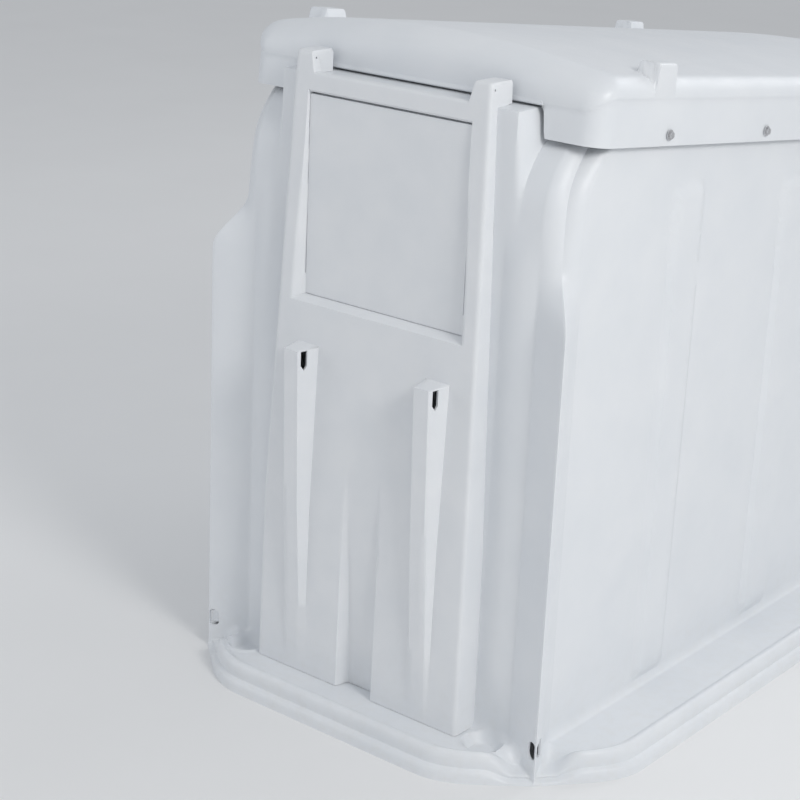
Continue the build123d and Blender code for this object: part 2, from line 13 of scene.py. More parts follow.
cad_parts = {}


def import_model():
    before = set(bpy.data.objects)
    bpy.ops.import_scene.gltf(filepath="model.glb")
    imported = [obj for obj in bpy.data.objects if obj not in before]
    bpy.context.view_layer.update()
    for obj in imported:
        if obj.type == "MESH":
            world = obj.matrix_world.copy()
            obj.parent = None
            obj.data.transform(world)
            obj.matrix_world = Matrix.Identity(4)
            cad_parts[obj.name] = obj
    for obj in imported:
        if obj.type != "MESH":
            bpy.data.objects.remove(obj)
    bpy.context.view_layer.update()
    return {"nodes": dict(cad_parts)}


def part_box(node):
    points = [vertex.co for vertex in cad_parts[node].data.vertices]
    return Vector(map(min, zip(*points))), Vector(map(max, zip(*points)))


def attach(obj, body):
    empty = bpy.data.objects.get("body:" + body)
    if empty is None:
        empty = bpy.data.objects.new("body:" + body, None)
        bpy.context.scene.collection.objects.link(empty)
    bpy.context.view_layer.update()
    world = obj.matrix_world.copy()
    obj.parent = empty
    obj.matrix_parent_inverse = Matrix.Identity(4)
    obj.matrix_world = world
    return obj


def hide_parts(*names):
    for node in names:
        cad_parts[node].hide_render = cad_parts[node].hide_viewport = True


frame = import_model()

MM = 0.001


def box_mm(node):
    """Lowest and highest corner of a frame node, in millimetres."""
    low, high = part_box(node)
    return np.array(low) / MM, np.array(high) / MM


# Driving sizes, from the frame
SHELL_HIGH = box_mm("body_shell")[1]
PANEL_HIGH = box_mm("vent_panel")[1]
FLAP_LOW, FLAP_HIGH = box_mm("vent_flap")
ROOF_HIGH = box_mm("roof_cap")[1]
LEDGE_OUT = 128                             # ledge reach outside the corner folds
FOLD_X = SHELL_HIGH[0] - LEDGE_OUT          # centre line to a corner fold
FOLD_Y = SHELL_HIGH[1] - LEDGE_OUT
WALL_INSET = 38
WALL_X, WALL_Y = FOLD_X - WALL_INSET, FOLD_Y - WALL_INSET
SKIN = 5                                    # moulded wall thickness
CORNER = 60                                 # wall corner radius
FLAT_X, FLAT_Y = WALL_X - CORNER, WALL_Y - CORNER   # where the flat walls end
FALL = 0.112                                # roof fall towards the doorway
SLANT = math.atan(FALL)
ROOF_REAR = 100                             # roof edge inside the rear folds
ROOF_EDGE = 1461                            # height of the roof's side edge at the rear
ROOF_SKIRT = 1330                           # height of its skirt's lower edge there


def rear(depth):
    return depth - FOLD_Y


def drop(y):
    return FALL * (y - rear(ROOF_REAR))


def ease(start, end, value):
    """0 before start, 1 after end, smooth between them. It may run downward."""
    t = np.clip((np.asarray(value, float) - start) / (end - start), 0, 1)
    return t * t * (3 - 2 * t)


def soft_max(a, b, width):
    return (a + b + np.sqrt((a - b) ** 2 + width ** 2)) / 2


def stations(*spans):
    """Positions from the first key to the last. Each later key is (position, step up to it)."""
    out = [spans[0]]
    for end, step in spans[1:]:
        count = max(1, round(abs(end - out[-1]) / step))
        out.extend(np.linspace(out[-1], end, count + 1)[1:])
    return np.array(out, float)


def mirrored(half):
    """Stations on both sides of zero, from those on one side."""
    return np.concatenate((-half[:0:-1], half))


def rounded_line(points, rounds=3):
    """Cut the corners of a line again and again, which rounds them."""
    points = np.array(points, float)
    for _ in range(rounds):
        a, b = points[:-1], points[1:]
        cut = np.empty((2 * len(a), 2))
        cut[0::2], cut[1::2] = 0.75 * a + 0.25 * b, 0.25 * a + 0.75 * b
        points = np.vstack((points[:1], cut, points[-1:]))
    return points


def link(name, mesh):
    piece = bpy.data.objects.new(name, mesh)
    bpy.context.scene.collection.objects.link(piece)
    return piece


def sheet(name, points, closed):
    """Quad mesh over a grid of points, rows by columns. The columns may join up."""
    rows, columns = points.shape[:2]
    index = np.arange(rows * columns).reshape(rows, columns)
    if closed:
        index = np.hstack((index, index[:, :1]))
    quads = np.stack((index[:-1, :-1], index[:-1, 1:], index[1:, 1:], index[1:, :-1]), axis=-1)
    mesh = bpy.data.meshes.new(name)
    mesh.from_pydata((points.reshape(-1, 3) * MM).tolist(), [], quads.reshape(-1, 4).tolist())
    mesh.update()
    return link(name, mesh)


def punch(piece, outline, axis, low, high, margin=25):
    """Cut a convex hole through an open sheet. Outline holds the two other coordinates in X, Y, Z order."""
    others = [i for i in range(3) if i != axis]
    ring = np.array(outline, float)
    centre = ring.mean(axis=0)
    near, far = ring.min(axis=0) - margin, ring.max(axis=0) + margin
    bm = bmesh.new()
    bm.from_mesh(piece.data)
    inside = []
    for face in bm.faces:
        spot = np.array(face.calc_center_median()) / MM
        if low < spot[axis] < high and (near < spot[others]).all() and (spot[others] < far).all():
            inside.append(face)
    for start, end in zip(ring, np.roll(ring, -1, axis=0)):
        away = np.array((end[1] - start[1], start[0] - end[0]))
        away = away / np.hypot(*away) * (1 if np.dot(away, start - centre) > 0 else -1)
        point, normal = np.zeros(3), np.zeros(3)
        point[others], normal[others] = start, away
        pool = set(inside)
        for face in inside:
            pool.update(face.edges)
            pool.update(face.verts)
        made = bmesh.ops.bisect_plane(bm, geom=list(pool), dist=0.002 * MM, plane_co=Vector(point * MM),
                                      plane_no=Vector(normal))
        inside = [f for f in made["geom"] if isinstance(f, bmesh.types.BMFace)
                  and (f.calc_center_median() - Vector(point * MM)).dot(Vector(normal)) < 0]
    bmesh.ops.delete(bm, geom=inside, context="FACES")
    bm.to_mesh(piece.data)
    bm.free()


def oval(centre, size, turn=0.5 * math.pi, count=24):
    """Outline of a slot: size is its length and width, turn the direction of its length."""
    straight, radius = (size[0] - size[1]) / 2, size[1] / 2
    out = []
    for angle in np.linspace(0, 2 * math.pi, count, endpoint=False) + math.pi / count:
        along = straight * np.sign(math.cos(angle)) + radius * math.cos(angle)
        across = radius * math.sin(angle)
        out.append((centre[0] + along * math.cos(turn) - across * math.sin(turn),
                    centre[1] + along * math.sin(turn) + across * math.cos(turn)))
    return out


def bake(piece):
    """Apply the piece's modifiers to its mesh."""
    graph = bpy.context.evaluated_depsgraph_get()
    final = bpy.data.meshes.new_from_object(piece.evaluated_get(graph))
    piece.modifiers.clear()
    piece.data = final


def thicken(piece, thickness=SKIN):
    solid = piece.modifiers.new("skin", "SOLIDIFY")
    solid.thickness = thickness * MM
    solid.offset = -1
    solid.use_even_offset = False
    bake(piece)


def settle(piece, crease=38):
    """Weld, drop empty faces and shade smooth, with edges kept sharp above the crease angle."""
    bm = bmesh.new()
    bm.from_mesh(piece.data)
    bmesh.ops.remove_doubles(bm, verts=bm.verts, dist=0.02 * MM)
    bmesh.ops.dissolve_degenerate(bm, edges=bm.edges, dist=0.01 * MM)
    for face in bm.faces:
        face.smooth = True
    for edge in bm.edges:
        if len(edge.link_faces) == 2:
            edge.smooth = edge.calc_face_angle(0) < math.radians(crease)
    bm.to_mesh(piece.data)
    bm.free()


def finish_piece(piece, node, material, body="hutch"):
    settle(piece)
    piece.data.materials.clear()
    piece.data.materials.append(material)
    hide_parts(node)
    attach(piece, body)


# Materials
class Nodes:
    """Short way to build a material's node tree."""

    def __init__(self, name):
        self.material = bpy.data.materials.new(name)
        self.material.use_nodes = True
        self.tree = self.material.node_tree
        self.shader = self.tree.nodes["Principled BSDF"]
        self.place = self.add("ShaderNodeTexCoord").outputs["Object"]

    def add(self, kind, **values):
        node = self.tree.nodes.new(kind)
        for key, value in values.items():
            if hasattr(node, key):
                setattr(node, key, value)
            else:
                node.inputs[key.replace("_", " ")].default_value = value
        return node

    def wire(self, source, target):
        self.tree.links.new(source, target)

    def noise(self, scale, detail=3.0, rough=0.5):
        node = self.add("ShaderNodeTexNoise", Scale=scale, Detail=detail, Roughness=rough)
        self.wire(self.place, node.inputs["Vector"])
        return node.outputs["Fac"]

    def span(self, source, low, high, start=0.3, end=0.7):
        node = self.add("ShaderNodeMapRange", From_Min=start, From_Max=end, To_Min=low, To_Max=high)
        self.wire(source, node.inputs["Value"])
        return node.outputs["Result"]

    def blend(self, factor, first, second):
        node = self.add("ShaderNodeMix", data_type="RGBA")
        for socket, value in (("A", first), ("B", second)):
            target = [s for s in node.inputs if s.name == socket and s.type == "RGBA"][0]
            if isinstance(value, tuple):
                target.default_value = (*value, 1)
            else:
                self.wire(value, target)
        self.wire(factor, node.inputs[0])
        return [s for s in node.outputs if s.type == "RGBA"][0]

    def bump(self, source, strength, distance, under=None):
        node = self.add("ShaderNodeBump", Strength=strength, Distance=distance)
        self.wire(source, node.inputs["Height"])
        if under is not None:
            self.wire(under, node.inputs["Normal"])
        return node.outputs["Normal"]


def moulded_plastic(name, light, shade, seed_scale):
    """Semi-gloss rotomoulded polyethylene: faint mottling, soft waves, orange peel and ground dust."""
    m = Nodes(name)
    mottle = m.span(m.noise(7 * seed_scale, 4), 0, 1)
    colour = m.blend(mottle, light, shade)
    split = m.add("ShaderNodeSeparateXYZ")
    m.wire(m.place, split.inputs[0])
    near_ground = m.span(split.outputs["Z"], 0.30, 0.0, 0.0, 0.22)
    speck = m.span(m.noise(38, 6, 0.65), 0, 1, 0.45, 0.75)
    dust = m.add("ShaderNodeMath", operation="MULTIPLY")
    m.wire(near_ground, dust.inputs[0])
    m.wire(speck, dust.inputs[1])
    m.wire(m.blend(dust.outputs[0], colour, (0.70, 0.69, 0.66)), m.shader.inputs["Base Color"])
    m.wire(m.span(m.noise(24, 5, 0.6), 0.34, 0.50), m.shader.inputs["Roughness"])
    waves = m.bump(m.noise(5.5, 2), 0.30, 0.004)
    peel = m.bump(m.noise(420, 2), 0.10, 0.0004, waves)
    m.wire(peel, m.shader.inputs["Normal"])
    m.shader.inputs["IOR"].default_value = 1.51
    m.shader.inputs["Subsurface Weight"].default_value = 0.06
    m.shader.inputs["Subsurface Radius"].default_value = (0.012, 0.012, 0.013)
    return m.material


def zinc(name):
    """Hot-dip galvanised steel with spangle and a few dull patches."""
    m = Nodes(name)
    cells = m.add("ShaderNodeTexVoronoi", Scale=110.0)
    m.wire(m.place, cells.inputs["Vector"])
    tone = m.add("ShaderNodeSeparateColor")
    m.wire(cells.outputs["Color"], tone.inputs[0])
    m.wire(m.blend(m.span(tone.outputs[0], 0, 1, 0, 1), (0.46, 0.48, 0.50), (0.63, 0.65, 0.67)),
           m.shader.inputs["Base Color"])
    m.wire(m.span(m.noise(60, 4), 0.30, 0.55), m.shader.inputs["Roughness"])
    m.wire(m.bump(m.noise(300, 3), 0.15, 0.0004), m.shader.inputs["Normal"])
    m.shader.inputs["Metallic"].default_value = 0.9
    return m.material


def satin_metal(name, first, second, rough):
    """Turned or drawn metal: fine streaks along the part and small tone changes."""
    m = Nodes(name)
    m.wire(m.blend(m.span(m.noise(90, 4), 0, 1), first, second), m.shader.inputs["Base Color"])
    m.wire(m.span(m.noise(500, 2), rough - 0.08, rough + 0.1), m.shader.inputs["Roughness"])
    m.wire(m.bump(m.noise(900, 1), 0.12, 0.0002), m.shader.inputs["Normal"])
    m.shader.inputs["Metallic"].default_value = 1.0
    return m.material


def rubber(name):
    m = Nodes(name)
    m.wire(m.blend(m.span(m.noise(40, 5), 0, 1), (0.018, 0.018, 0.020), (0.045, 0.044, 0.043)),
           m.shader.inputs["Base Color"])
    m.wire(m.span(m.noise(120, 3), 0.58, 0.80), m.shader.inputs["Roughness"])
    m.wire(m.bump(m.noise(700, 2), 0.25, 0.0003), m.shader.inputs["Normal"])
    return m.material


# Body: walls, corner flares and ledge as one moulded sheet, stations round the plan by rows up the wall
SHOULDER = ((0, 1000), (0, 1188), (11, 1245), (33, 1281), (62, 1316), (112, 1345), (212, 1390))
FRONT_SINK = 25
SHOULDER_START = (1150, 930)                # rear and front
BODY_TOP = (1390, 1192)
BAY_HALF, BAY_TOP = 312, 1386               # upright box behind the panel's top
BAY_EDGE = 10
CORNER_DRAFT = 26                           # how far the corners lean in at the top
BAY_RUN = 212                               # length of its flat top
LEDGE_FLOOR = 56
LEDGE_REACH = SHELL_HIGH[0] - WALL_X        # ledge outline outside the wall plane
LEDGE_BEND = 0.00656                        # the outline curves in towards the folds
FOOT_RISE = 22                              # height of the fillet at the wall's foot
FOOT_REACH = 14
# The ledge's edge, as (step in from the outline, height): two rounded beads, then the floor
BEADS = ((0, 0), (0.6, 5), (0.8, 15), (2.4, 22), (6, 26.6), (10.5, 28.6), (13.4, 31), (13.2, 36), (12.4, 44),
         (12.6, 52), (14.4, 58.5), (18.5, 64), (24.5, 66.6), (30.5, 65.2), (35, 61.4), (38.6, 57.8), (42, 56))
SOCKET = (341, 6, 42, 20)                  # across, outward of the folds, radius, depth
FLARE_TOP = (1092, 972)                     # the rear flares fade between these heights
FLARE_LOWER = drop(FOLD_Y)                  # and the front ones this much lower
BULGE = (290, 376, 8)                       # rounded band beside the panel: from, to, reach
FLARE_RUN_OUT = (112, 60)                   # the beads fade as the flare closes on the ledge outline
SIDE_RIBS = (-470, 0, 470)
SIDE_RIB = (110, 12, 90)                    # width, reach, distance under the roof skirt
OPEN_TOP = (370, 677)
DOOR = (300, 110, 620)                      # half width, sill, spring line
WINDOW = (195, 940, 1330)
FOLD_SLOT = (458, 76, 41, 25)               # across, height, length, width


def flare_reach(angle):
    """Reach of a corner flare outside the rounded corner, along a ray from the corner's centre."""
    c, s = np.abs(np.cos(angle)), np.abs(np.sin(angle))
    long, short = CORNER, CORNER + WALL_INSET
    apart = np.sqrt((c - s) ** 2 + 0.02 ** 2)
    major, minor = (c + s + apart) / 2, (c + s - apart) / 2
    return short * long / (short * major - WALL_INSET * minor) - CORNER


def ledge_reach_straight(along, flat):
    return LEDGE_REACH - 0.5 * LEDGE_BEND * np.maximum(0, np.abs(along) - flat + 122) ** 2


def ledge_reach_corner(angle):
    """Reach of the ledge outline along a ray from the corner's centre: a cut corner through the fold."""
    end = CORNER + ledge_reach_straight(FLAT_X, FLAT_X)
    near, far = 92.0, 100.0
    c, s = np.abs(np.cos(angle)), np.abs(np.sin(angle))
    major, minor = np.maximum(c, s), np.minimum(c, s)
    slope = (end - far) / near
    return np.minimum(end / (major + slope * minor), (near + far) / (c + s)) - CORNER


def body_plan():
    """Stations once round the walls, counterclockwise: place, outward direction, flare and ledge reach."""
    end_wall = mirrored(stations(0, (270, 18), (290, 5), (FLAT_X, 4.5)))
    run = stations(0, (FLAT_Y - 140, 12), (FLAT_Y, 10))
    side_wall = mirrored(run)
    half = np.arctan2(CORNER + WALL_INSET * np.linspace(0, 1, 19),
                      (CORNER + WALL_INSET) * np.linspace(0, 1, 19))[::-1]
    quarter = np.concatenate((np.pi / 2 - half[::-1][:-1], [np.pi / 4], half[1:]))
    quarter = np.unique(np.round(quarter, 9))[1:-1]
    rows = []
    for turn in range(4):
        heading = -np.pi / 2 + turn * np.pi / 2
        nx, ny = math.cos(heading), math.sin(heading)
        tx, ty = -ny, nx
        along = end_wall if turn % 2 == 0 else side_wall
        out = WALL_Y if turn % 2 == 0 else WALL_X
        flat = FLAT_X if turn % 2 == 0 else FLAT_Y
        for a in along:
            rows.append((out * nx + a * tx, out * ny + a * ty, nx, ny, 0.0,
                         ledge_reach_straight(a, flat)))
        centre = (FLAT_X * np.sign(nx + tx), FLAT_Y * np.sign(ny + ty))
        for q in quarter:
            angle = heading + q
            cx, cy = math.cos(angle), math.sin(angle)
            rows.append((centre[0] + CORNER * cx, centre[1] + CORNER * cy, cx, cy,
                         float(flare_reach(angle)), float(ledge_reach_corner(angle))))
    return np.array(rows).T


def towards_rear(y):
    """1 along the rear wall, 0 along the front one, even in between."""
    return np.clip((FLAT_Y - y) / (2 * FLAT_Y), 0, 1)


def shoulder_shift(y, z):
    """How far the end walls have moved along Y at heights z, inward at both ends."""
    rear_line = rounded_line(SHOULDER)
    front_line = rear_line.copy()
    front_line[:, 1] -= drop(WALL_Y - front_line[:, 0]) + FRONT_SINK
    back = np.interp(z, rear_line[:, 1], rear_line[:, 0])
    fore = np.interp(z, front_line[:, 1], front_line[:, 0])
    return back * towards_rear(y) - fore * (1 - towards_rear(y))


def side_rib_reach(y, z):
    """Reach of the side walls' stiffening ribs."""
    width, reach, under = SIDE_RIB
    out = 0
    for middle in SIDE_RIBS:
        top = ROOF_SKIRT - drop(middle) - under
        across = ease(width / 2 + 7, width / 2 - 9, np.abs(y - middle))
        out = out + reach * across * ease(top + 8, top - 22, z) * ease(66, 100, z)
    return out


def wall_row(plan, z):
    """Wall points at heights z, with the shoulders, flares, ribs and bulges."""
    x0, y0, nx, ny, flare, _ = plan
    y = y0 + shoulder_shift(y0, z)
    shift = FLARE_LOWER * ease(-200, 200, y0)
    out = flare * ease(FLARE_TOP[0], FLARE_TOP[1], z + shift)
    band = np.clip((np.abs(x0) - BULGE[0]) / (BULGE[1] - BULGE[0]), 0, 1)
    level = ease(78, 200, z) * ease(1170, 1060, z + shift)
    out = out + np.where(np.abs(ny) > 0.99, BULGE[2] * np.sin(np.pi * band) * level, 0)
    out = out + np.where(np.abs(nx) > 0.99, side_rib_reach(y, z), 0)
    corner = 1 - np.abs(np.abs(nx) - np.abs(ny))
    out = out - CORNER_DRAFT * corner * ease(1010, 1390, z + shift)
    return np.stack((x0 + nx * out, y + ny * out, z), axis=-1)


def ledge_rows(plan):
    """Rows from the ground over the two beads and the ledge floor to the top of the wall's fillet."""
    x0, y0, nx, ny, flare, ledge = plan
    merge = ease(FLARE_RUN_OUT[0], FLARE_RUN_OUT[1], ledge - flare)
    steps = np.array(BEADS, float)
    floor_count, foot_count = 24, 6
    total = len(steps) + floor_count + foot_count
    fillet = FOOT_REACH * (1 - merge)
    wall_foot = flare + fillet
    floor_out = soft_max(ledge - steps[-1, 0], wall_foot, 3.0)
    rows = []

    def add_row(out, z):
        level = (LEDGE_FLOOR + FOOT_RISE) * len(rows) / (total - 1)
        rows.append(np.stack((x0 + nx * out, y0 + ny * out, z * (1 - merge) + level * merge), axis=-1))

    for step, z in steps:
        add_row(soft_max(ledge - step, flare, 4.0), z)
    for share in np.linspace(0, 1, floor_count + 1)[1:]:
        add_row(floor_out * (1 - share) + wall_foot * share, LEDGE_FLOOR)
    for angle in np.linspace(0, math.pi / 2, foot_count + 1)[1:-1]:
        add_row(flare + fillet * (1 - math.sin(angle)), LEDGE_FLOOR + FOOT_RISE * (1 - math.cos(angle)))
    return rows


def bay_row(x, start, share):
    """The bay behind the panel's top, upright for the first 0.6 of its rows and then level."""
    rise = min(share / 0.6, 1)
    run = ease(0.6, 1, share)
    y = np.full_like(x, BAY_RUN * run - WALL_Y)
    z = start + (BAY_TOP - start) * rise + (BODY_TOP[0] - BAY_TOP) * run
    return np.stack((x, y, z), axis=-1)


def wall_rows(plan):
    """Rows from the fillet up to the edge of the body's top."""
    x0, y0 = plan[:2]
    to_rear = towards_rear(y0)
    low = LEDGE_FLOOR + FOOT_RISE
    start = SHOULDER_START[0] * to_rear + SHOULDER_START[1] * (1 - to_rear)
    top = BODY_TOP[0] * to_rear + BODY_TOP[1] * (1 - to_rear)
    rows = [wall_row(plan, low + (start - low) * share) for share in stations(0, (0.72, 0.022), (1.0, 0.010))]
    in_bay = ease(BAY_HALF + BAY_EDGE, BAY_HALF - BAY_EDGE, np.abs(x0)) * (y0 < -WALL_Y + 1)
    for share in np.linspace(0, 1, 30)[1:]:
        wall = wall_row(plan, start + (top - start) * share)
        bay = bay_row(x0, start, share)
        rows.append(wall * (1 - in_bay[:, None]) + bay * in_bay[:, None])
    return rows


def top_rows(edge):
    """Rows from the top edge in to the opening under the roof."""
    x = edge[:, 0] * OPEN_TOP[0] / WALL_X
    y = edge[:, 1] * OPEN_TOP[1] / (WALL_Y - BAY_RUN)
    inside = np.stack((x, y, edge[:, 2]), axis=-1)
    return [edge * (1 - share) + inside * share for share in (0.08, 0.5, 1.0)]


def body_points():
    plan = body_plan()
    rows = ledge_rows(plan)
    sockets(rows)
    rows += wall_rows(plan)
    rows += top_rows(rows[-1])
    return np.array(rows)


def sockets(rows):
    """Sink the four round sockets into the ledge floor, with a soft raised lip."""
    across, outward, radius, depth = SOCKET
    for row in rows:
        for side in (-1, 1):
            for end in (-1, 1):
                away = np.hypot(row[:, 0] - side * across, row[:, 1] - end * (FOLD_Y + outward))
                on_floor = row[:, 2] > LEDGE_FLOOR - 2
                lip = 3.0 * np.exp(-((away - radius - 5) / 4.5) ** 2)
                dish = depth * ease(radius + 1, radius - 13, away)
                row[:, 2] += np.where(on_floor & (away < radius + 22), lip - dish, 0)


def door_outline():
    half, sill, spring = DOOR
    arc = [(half * math.cos(t), spring + half * math.sin(t)) for t in np.linspace(0, math.pi, 49)]
    return [(-half, sill), (half, sill)] + arc


def round_rectangle(half, low, high, radius):
    """Outline with rounded corners, centred across."""
    out = []
    for side, level, start in ((1, low, -90), (1, high, 0), (-1, high, 90), (-1, low, 180)):
        inward = radius if level == low else -radius
        for angle in np.radians(np.linspace(start, start + 90, 7)):
            out.append((side * (half - radius) + radius * math.cos(angle),
                        level + inward + radius * math.sin(angle)))
    return out


def body_piece(material):
    piece = sheet("body_moulding", body_points(), True)
    across, height, length, width = FOLD_SLOT
    punch(piece, door_outline(), 1, WALL_Y - 60, WALL_Y + 60)
    punch(piece, round_rectangle(*WINDOW, 20), 1, rear(WALL_INSET - 40), rear(WALL_INSET + 60))
    for side in (-1, 1):
        shape = oval((side * across, height), (length, width))
        punch(piece, shape, 1, -FOLD_Y - 20, -FOLD_Y + 40)
        punch(piece, shape, 1, FOLD_Y - 40, FOLD_Y + 20)
    settle(piece)
    thicken(piece)
    finish_piece(piece, "body_shell", material)


# Vent panel: one moulded sheet from the left side face, over the front, to the right side face
PANEL_FOOT, PANEL_KNEE, PANEL_RAIL = (285, 57), (281, 462), (253, PANEL_HIGH[2] - 43)
PANEL_FACE = (-29, -23, 16)                 # depth of the front face at foot, knee and rail
PANEL_BACK = 38
EDGE = 9                                    # rounding of the panel's upright edges
TOP_ROUND = 0.6 * EDGE                      # and of its top
POST_IN, POST_OUT, POST_BACK = 205, 252, 86
POST_TOP = PANEL_HIGH[2]
RAIL_TOP = POST_TOP - 43
RIB_IN, RIB_OUT, RIB_TOP, RIB_REACH = 150, 203, 819, 53
FLUTE_HALF, FLUTE_TOP, FLUTE_DEPTH = 45, 580, 34
HOLE_HALF = FLAP_HIGH[0] + 1.5
HOLE_LOW, HOLE_HIGH = FLAP_LOW[2] - 1.5, FLAP_HIGH[2] + 4.5
FLAP_PLANE = FLAP_LOW[1] + FOLD_Y
MOUTH_LOW = HOLE_LOW - 11


def panel_face(z):
    """Depth of the panel's front face at a height."""
    return np.interp(z, (PANEL_FOOT[1], PANEL_KNEE[1], PANEL_RAIL[1], POST_TOP),
                     (*PANEL_FACE, PANEL_FACE[2] + 4))


def panel_half(z):
    return np.interp(z, (PANEL_FOOT[1], PANEL_KNEE[1], PANEL_RAIL[1], POST_TOP),
                     (PANEL_FOOT[0], PANEL_KNEE[0], PANEL_RAIL[0], PANEL_RAIL[0] - 1.5))


def panel_columns():
    """Columns from the centre out: key number and share of the way to the next key."""
    keys = (10, 3, 12, 4, 3, 7, 6)
    return [(key, k / count) for key, count in enumerate(keys) for k in range(count)] + [(len(keys) - 1, 1.0)]


def panel_key_places(z):
    """Places across of the column keys at height z. They bend round the recess."""
    mouth = 212 + 18 * ease(1353, 900, z) + 1.5
    half = panel_half(z) - EDGE
    return np.array((0, FLUTE_HALF - 5, FLUTE_HALF + 6, RIB_IN - 5, RIB_OUT - 8, RIB_OUT + 4, mouth, half))


def panel_relief(x, z):
    """Depth of the face with its ribs, flute and recess."""
    across = np.abs(x)
    depth = panel_face(z)
    grow = np.clip((z - 75) / (RIB_TOP - 75), 0, 1) * (z <= RIB_TOP)
    rib = ease(RIB_IN - 5, RIB_IN + 6, across) * ease(RIB_OUT + 4, RIB_OUT - 6, across)
    depth = depth - RIB_REACH * grow * rib * ease(RIB_TOP + 1, RIB_TOP - 3, z)
    flute = FLUTE_DEPTH * np.clip((FLUTE_TOP - z) / (FLUTE_TOP - PANEL_FOOT[1]), 0, 1)
    depth = depth + flute * ease(FLUTE_HALF + 5, FLUTE_HALF - 4, across)
    mouth = 212 + 18 * ease(1353, 900, z)
    side_in = np.clip((mouth - across) / np.maximum(mouth - HOLE_HALF, 1), 0, 1)
    low_in = np.clip((z - MOUTH_LOW) / (HOLE_LOW - MOUTH_LOW), 0, 1)
    high_in = np.clip((HOLE_HIGH + 5 - z) / 5, 0, 1)
    sunk = np.minimum(np.minimum(side_in, low_in), high_in)
    return depth + (FLAP_PLANE - depth) * sunk


def panel_top(x):
    """Height of the panel's top: the rail between the two posts."""
    rise = ease(POST_IN - 7, POST_IN + 6, np.abs(x))
    return RAIL_TOP + (POST_TOP - 2 - RAIL_TOP) * rise


def panel_row(level_at):
    """One row from left to right, as places across and heights. level_at gives the height at a place."""
    columns = panel_columns()
    signs = [-1] * len(columns) + [1] * len(columns)

    def between(z, key, share):
        places = panel_key_places(z)
        stop = places[min(key + 1, len(places) - 1)]
        return places[key] + (stop - places[key]) * share

    out = []
    for side, (key, share) in zip(signs, columns[::-1] + columns):
        z = level_at(between(RAIL_TOP, key, share))
        out.append((side * between(z, key, share), z))
    return out


def panel_flank(x, z):
    """Side face and rounded edge at one end of a row, from the wall out to the face."""
    side = math.copysign(1, x)
    face, half = panel_face(z), panel_half(z)
    end = PANEL_BACK + (POST_BACK - PANEL_BACK) * ease(RAIL_TOP - 12, RAIL_TOP - 5, z)
    flank = [(side * half, depth, z) for depth in (float(end), (PANEL_BACK + face + EDGE) / 2, face + EDGE)]
    for angle in np.radians((22.5, 45, 67.5)):
        pull, sink = EDGE * (1 - math.cos(angle)), EDGE * (1 - math.sin(angle))
        flank.append((side * (half - pull), face + sink, z))
    return flank


def panel_line(points):
    """A row's points on the face, with both flanks joined on."""
    middle = [(x, float(panel_relief(x, z)), z) for x, z in points]
    return np.array(panel_flank(*points[0]) + middle + panel_flank(*points[-1])[::-1])


def panel_over_top(edge):
    """Rows from the face's upper edge, over the rail and posts and down behind them."""
    limit = np.where(np.abs(edge[:, 0]) > POST_IN + 3, POST_BACK, PANEL_BACK)
    ceiling = panel_top(edge[:, 0])
    rows = []
    for angle in np.radians((30, 60, 90)):
        turned = edge.copy()
        turned[:, 1] = np.minimum(edge[:, 1] + TOP_ROUND * (1 - math.cos(angle)), limit)
        turned[:, 2] += (ceiling - edge[:, 2]) * math.sin(angle)
        pull = 2.5 * ease(POST_OUT - 14, POST_OUT, np.abs(edge[:, 0])) * math.sin(angle)
        turned[:, 0] -= np.sign(edge[:, 0]) * pull
        rows.append(turned)
    crest = rows[-1]
    for share in (0.33, 0.66, 1.0):
        behind = crest.copy()
        behind[:, 1] += (np.maximum(limit - 4, crest[:, 1]) - crest[:, 1]) * share
        rows.append(behind)
    tail = rows[-1]
    for share in (0.12, 1.0):
        down = tail.copy()
        down[:, 1] = np.maximum(tail[:, 1], limit)
        down[:, 2] += (RAIL_TOP - 6 - tail[:, 2]) * share
        rows.append(down)
    return rows


def panel_points():
    levels = stations(PANEL_FOOT[1], (RIB_TOP - 14, 14), (RIB_TOP - 3, 3), (RIB_TOP + 1, 1), (MOUTH_LOW, 12),
                      (HOLE_LOW, 2), (HOLE_HIGH, 15), (HOLE_HIGH + 5, 1.7))
    rows = [panel_line(panel_row(lambda x: z)) for z in levels]
    base = levels[-1]
    for share in np.linspace(0, 1, 12)[1:]:
        rows.append(panel_line(panel_row(lambda x: base + (float(panel_top(x)) - TOP_ROUND - base) * share)))
    rows += panel_over_top(rows[-1])
    points = np.array(rows)
    points[:, :, 1] = rear(points[:, :, 1])
    return points


def panel_piece(material):
    piece = sheet("vent_panel_moulding", panel_points(), False)
    open_hole(piece)
    slot_depth = float(panel_face(RIB_TOP)) - RIB_REACH + 17
    pointed = [(-8, 20), (8, 20), (8, -14), (1, -24), (-8, -12)]
    slot = [(rear(slot_depth) + y, RIB_TOP - 24 + z) for y, z in pointed]
    pin = oval((rear(30), POST_TOP - 16), (5, 5), count=12)
    for side in (-1, 1):
        rib, post = side * (RIB_IN + RIB_OUT) / 2, side * (POST_IN + POST_OUT) / 2
        punch(piece, slot, 0, rib - 40, rib + 40)
        punch(piece, pin, 0, post - 32, post + 32)
    settle(piece)
    thicken(piece)
    finish_piece(piece, "vent_panel", material)


